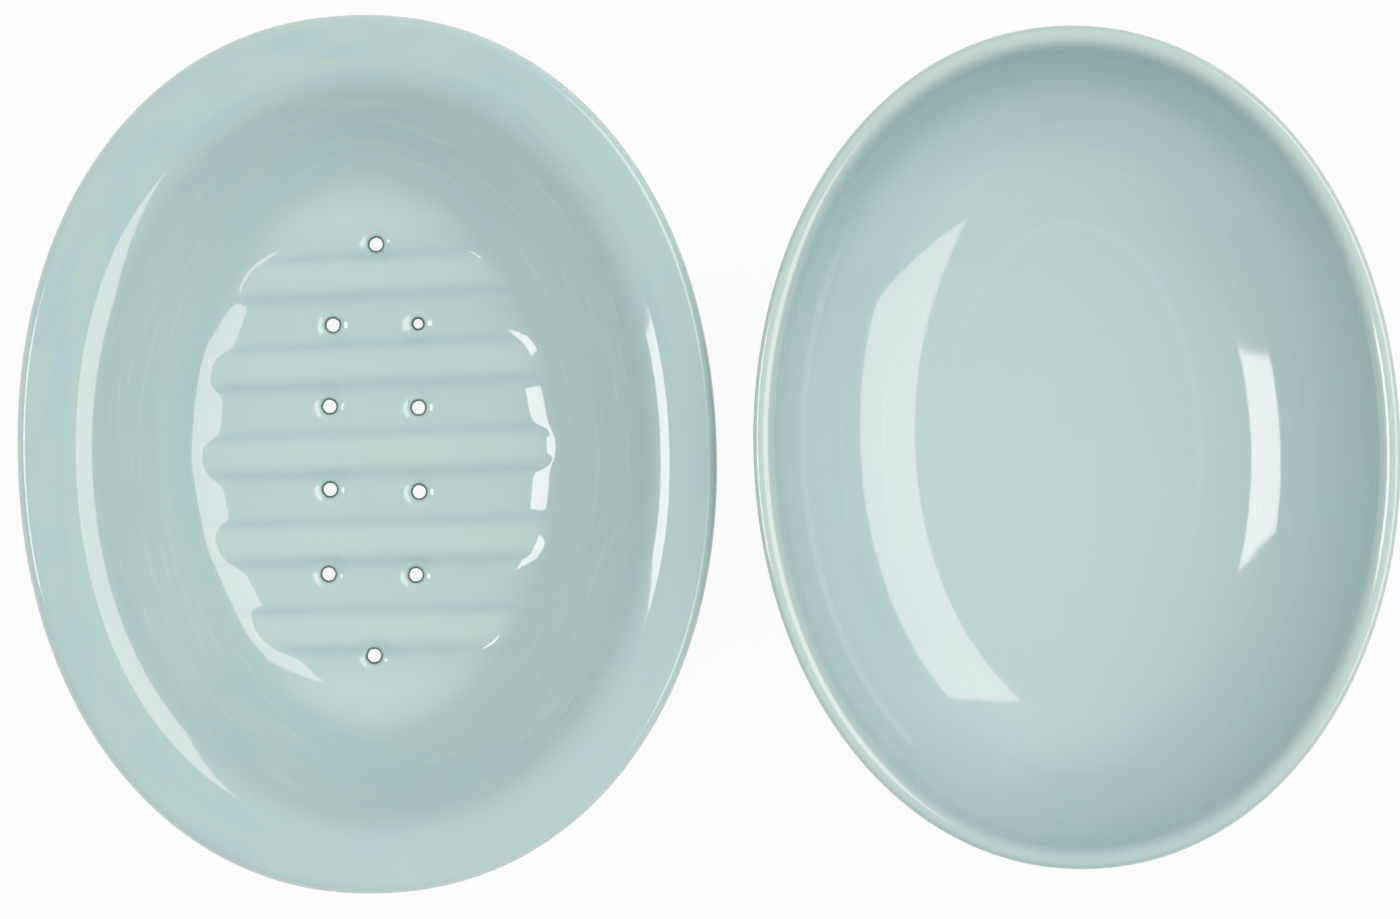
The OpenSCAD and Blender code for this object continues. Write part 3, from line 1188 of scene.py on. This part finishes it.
        # painted shade on the rim top, heavier to the left and far side, lighter to the right and near side
        rim_lit = t.smooth(x * self.rim_lit_way[0] + y * self.rim_lit_way[1], *self.rim_lit_fade)
        deep = t.smooth(below, *self.rim_fade) * (self.rim_shade - rim_lit * self.rim_lit_less)
        mesh = t.store(mesh, "deep", deep)
        # painted light at the basin floor's ends and on its left and right walls
        end = t.smooth(abs(y), *self.end_fade) * t.fading(above, *self.end_top_fade)
        wall = t.smooth(above, *self.side_foot_fade) * t.fading(below, *self.side_top_fade)
        side = t.smooth(abs(x), *self.side_fade) * wall
        lit = upper * (end * self.end_pale).at_least(side * self.side_pale)
        mesh = t.store(mesh, "pale", lit.at_least(pale))
        # painted shade: a darker line along the steepest flank of each ridge
        line = t.smooth(past, *self.line_fade) * t.fading(past, *self.past_line_fade)
        return t.store(mesh, "pooled", low * line * self.flank_shade_share)

    def shell(self, t: GeometryTree, section: Thing, rings: int, lip_row: float) -> Socket:
        """Nodes for the rim and the wall, with the ridges running up the inside of the wall.

        Args:
            t: the tree.
            section: object that holds the section's points.
            rings: how many points it has.
            lip_row: share of the rows that lie under the rim's edge.
        Returns:
            The mesh.
        """
        grid, (x, y, z), inset, row = self.swept(t, section, rings, self.half_w)
        inside = row > lip_row
        basin = t.smooth(inset, self.edge_w, self.rim_w) * t.size("Basin offset", self.basin_off)
        settled = t.smooth(inset, self.rim_w + self.floor_off_from, self.sheet_in) * inside
        x = settled * t.size("Floor offset", self.floor_off) + (x + basin)
        wall = (z - self.floor_z).at_least(0.0)
        joined = self.tree_joined(t, wall, self.floor_in - inset, x, y) + self.floor_z
        place = self.placed(t, x, y, joined * inside + z * (1.0 - inside))
        mesh = t.moved(t.store(grid, "inset", inset * inside), position=place)
        # the rim's edge is paler: the glaze runs thin over it, and painted light lifts its shade
        return self.tinted(t, mesh, inside, t.fading(inset, *self.edge_fade) * self.edge_pale)

    def floor_sheets(self, t: GeometryTree, sheets: Thing) -> Socket:
        """Nodes for the flat sheets of floor and underside, the upper one raised into ridges.

        Args:
            t: the tree.
            sheets: object that holds both sheets.
        Returns:
            The mesh.
        """
        x, y, z = t.parts(t.position())
        upper = z > self.foot_h + self.thickness / 2
        place = self.placed(t, x, y, z + self.tree_floor(t, x, y) * upper)
        return self.tinted(t, t.moved(t.mesh_of("Sheets", sheets), position=place), upper, 0.0)

    def perforations(self, t: GeometryTree, marks: Thing, collar: Thing,
                     rings: int) -> Socket:
        """Nodes for one collar on each mark: the floor round a drain hole, its edge and its bore.

        Args:
            t: the tree.
            marks: object with a point for each hole; z holds how much narrower that hole is.
            collar: object whose points are the collar's section (radius, 0, z).
            rings: how many points that section has.
        Returns:
            The mesh.
        """
        spots, (hx, hy, narrower) = t.kept(t.mesh_of("Holes", marks), t.position())
        grid, (angle, radius, z, _) = t.swept("Collar", collar, self.collar_points + 1, rings)
        copies = t.add("GeometryNodeInstanceOnPoints", named={"Points": spots, "Instance": grid})
        real = t.add("GeometryNodeRealizeInstances", copies.outputs[0])
        cosine, sine = t.math("COSINE", angle), t.math("SINE", angle)
        near = t.fading(radius, self.hole_r, self.under_collar_r - 0.1 * MM)
        uneven = t.noise(t.vector(cosine, sine, 0.0), (hx + hy) / MM, self.ragged_scale)
        wide = radius - near * (narrower + (uneven - 0.5) * self.ragged)
        x, y = wide * cosine + hx, wide * sine + hy
        share = (z - self.foot_h) / self.thickness
        place = self.placed(t, x, y, self.tree_floor(t, x, y) * share + z)
        past = radius - (self.hole_r + self.hole_taper)
        # bore marks the hole's wall, painted dark as shade and dulled
        mesh = t.moved(t.store(real.outputs[0], "bore", t.fading(past, *self.bore_fade)), position=place)
        # a pale halo round each hole: the glaze runs thin over its edge, and painted light lifts the edge's
        # shade
        return self.tinted(t, mesh, share > 0.5, t.fading(past, *self.halo_fade) * self.halo_pale)

    def build(self, material: bpy.types.Material) -> Thing:
        """Makes the strainer in its glaze.

        Args:
            material: its glaze.
        Returns:
            The finished piece.
        """
        halves = [glazed(self.section(place), self.softness, self.step, self.turn) for place in Place]
        rows = [*halves[0], *halves[1][1:]]
        lip_row = (len(halves[0]) - 0.5) / (len(rows) - 1)
        section = section_object("strainer_section", rows)
        upper, faces = self.sheet(self.sheet_in, self.floor_x, self.sheet_step, self.collar_r)
        lower, under = self.sheet(self.under_in, self.basin_off, self.under_step, self.under_collar_r)
        points = [(p.x, p.y, self.floor_z) for p in upper] + [(p.x, p.y, self.foot_h) for p in lower]
        faces += [[k + len(upper) for k in reversed(f)] for f in under]
        sheets = mesh_object("strainer_sheets", points, faces)
        marks = mesh_object("strainer_holes", [(*h, self.narrower if k == self.narrow_hole else 0.0)
                                               for k, h in enumerate(self.holes())])
        rim = glazed(self.collar(), self.collar_softness, self.collar_step, self.collar_turn)
        collar = section_object("strainer_collar", rim)
        t = GeometryTree("strainer_sweep")
        join = t.add("GeometryNodeJoinGeometry")
        for mesh in (self.shell(t, section, len(rows), lip_row), self.floor_sheets(t, sheets),
                     self.perforations(t, marks, collar, len(rim))):
            t.tree.links.new(mesh, join.inputs[0])
        return self.fired(t, join.outputs[0], material, [section, sheets, marks, collar])


@dataclass(frozen=True)
class Softbox:
    """A soft lamp, given by the direction it stands in and its size from there.

    Its glow shows in the glaze; the light that it casts is dimmer, as most light here comes from above.
    """

    name: str
    azimuth: float
    from_top: float
    across: float
    tall: float
    glow: Colour
    light: Colour
    tilt: float
    distance: float = 3.0
    behind: float = 0.1

    def build(self) -> None:
        """Makes the lamp's glow, and its light a little behind, turned to the dish."""
        a, p = math.radians(self.azimuth), math.radians(self.from_top)
        towards = Vector((math.sin(p) * math.cos(a), math.sin(p) * math.sin(a), math.cos(p)))
        turned = Quaternion((0, 0, 1), math.radians(self.tilt))
        for part, colour, behind in (("glow", self.glow, 0.0), ("light", self.light, self.behind)):
            distance = self.distance + behind
            lamp = bpy.data.lights.new(f"{self.name}_{part}", "AREA")
            lamp.shape = "RECTANGLE"
            lamp.size, lamp.size_y = self.across * distance, self.tall * distance
            lamp.energy = math.pi * lamp.size * lamp.size_y
            lamp.color = colour
            thing = new_object(lamp.name, lamp)
            thing.location = towards * distance
            thing.rotation_euler = (towards.to_track_quat("Z", "Y") @ turned).to_euler()
            thing.visible_camera = False
            thing.visible_diffuse = part == "light"
            thing.visible_glossy = part == "glow"


@dataclass
class Studio:
    """The table, the lamps, the room's light and the camera straight above."""

    across: float = 222.45 * MM
    height: float = 4.0
    sensor: float = 36.0
    farthest: float = 100.0
    roll: float = 1.87
    look_at: Point = (-1.32 * MM, -2.57 * MM)
    focus_z: float = 34 * MM
    table_size: float = 12.0
    room: float = 0.44
    overhead: float = 1.45
    low_sheen: float = 0.45
    overhead_power: float = 6.0
    window: float = 0.14

    def table(self) -> None:
        """Lays the table top, well past what any view shows."""
        half = self.table_size / 2
        corners = [(-half, -half, 0), (half, -half, 0), (half, half, 0), (-half, half, 0)]
        top = mesh_object("table_top", corners, [(0, 1, 2, 3)])
        top.data.materials.append(TableTop().build())

    def world(self) -> None:
        """Sets the room's light, brightest overhead, and white where camera or glaze look past the table."""
        world = bpy.data.worlds.new("room")
        bpy.context.scene.world = world
        world.use_nodes = True
        t = NodeTree(world.node_tree)
        _, y, z = t.parts(t.add("ShaderNodeTexCoord").outputs["Generated"])
        beyond = y.at_least(0.0) * self.window + self.room
        strength = z.at_least(0.0) ** self.overhead_power * self.overhead + beyond
        sheen = t.smooth(z, 0.0, 1.0) * (1.0 - self.low_sheen) + self.low_sheen
        room = t.add("ShaderNodeBackground", WHITE, strength)
        white = t.add("ShaderNodeBackground", WHITE, t.rays("Camera", "Transmission").at_least(sheen))
        seen = t.rays("Camera", "Transmission", "Glossy")
        mixed = t.add("ShaderNodeMixShader", seen, room.outputs[0], white.outputs[0])
        t.add("ShaderNodeOutputWorld", mixed.outputs[0])

    def camera(self) -> None:
        """Hangs the camera over the dish, turned as the photograph is."""
        camera = bpy.data.cameras.new("camera")
        camera.sensor_width = self.sensor
        camera.lens = self.sensor * (self.height - self.focus_z) / self.across
        camera.clip_end = self.farthest
        thing = new_object("camera", camera)
        thing.location = (*self.look_at, self.height)
        thing.rotation_euler = (0.0, 0.0, -math.radians(self.roll))
        bpy.context.scene.camera = thing

    def build(self) -> None:
        """Sets the whole studio up."""
        self.table()
        self.world()
        Softbox("right_softbox", azimuth=7.3, from_top=45.2, across=1.08, tall=0.714,
                glow=(3.6, 2.75, 2.7), light=(0.88, 0.86, 0.85), tilt=6.0).build()
        Softbox("left_softbox", azimuth=178.6, from_top=46.0, across=0.33, tall=0.38,
                glow=(6.9, 5.6, 5.6), light=(0.62, 0.67, 0.68), tilt=5.0).build()
        self.camera()
        view = bpy.context.scene.view_settings
        view.view_transform = "Standard"


def main() -> None:
    """Builds the pieces and the studio."""
    logging.basicConfig(level=logging.INFO, format="%(message)s")
    flaws = ((-101.0 * MM, 12.2 * MM), (-16.8 * MM, 10.5 * MM), (-16.0 * MM, 1.5 * MM))
    # each pale tints painted light, and the bowl's green tints its painted shade
    strainer_glaze = Glaze("strainer_glaze", 1.0, body=srgb(181, 208, 207), pale=srgb(204, 227, 221),
                           blemishes=flaws).build()
    bowl_glaze = Glaze("bowl_glaze", 2.0, body=srgb(185, 210, 211), pale=srgb(204, 227, 227),
                       green=srgb(171, 199, 200), streak=0.15).build()
    strainer = Strainer("strainer", "strainer_body", 2.12, 1.88, points_round=288, step=0.6 * MM, seed=3.0)
    strainer.build(strainer_glaze)
    bowl = Bowl("bowl", "bowl_body", 2.05, 2.05, points_round=256, step=0.9 * MM, seed=8.0)
    bowl.build(bowl_glaze)
    Studio().build()


if __name__ == "__main__":
    main()
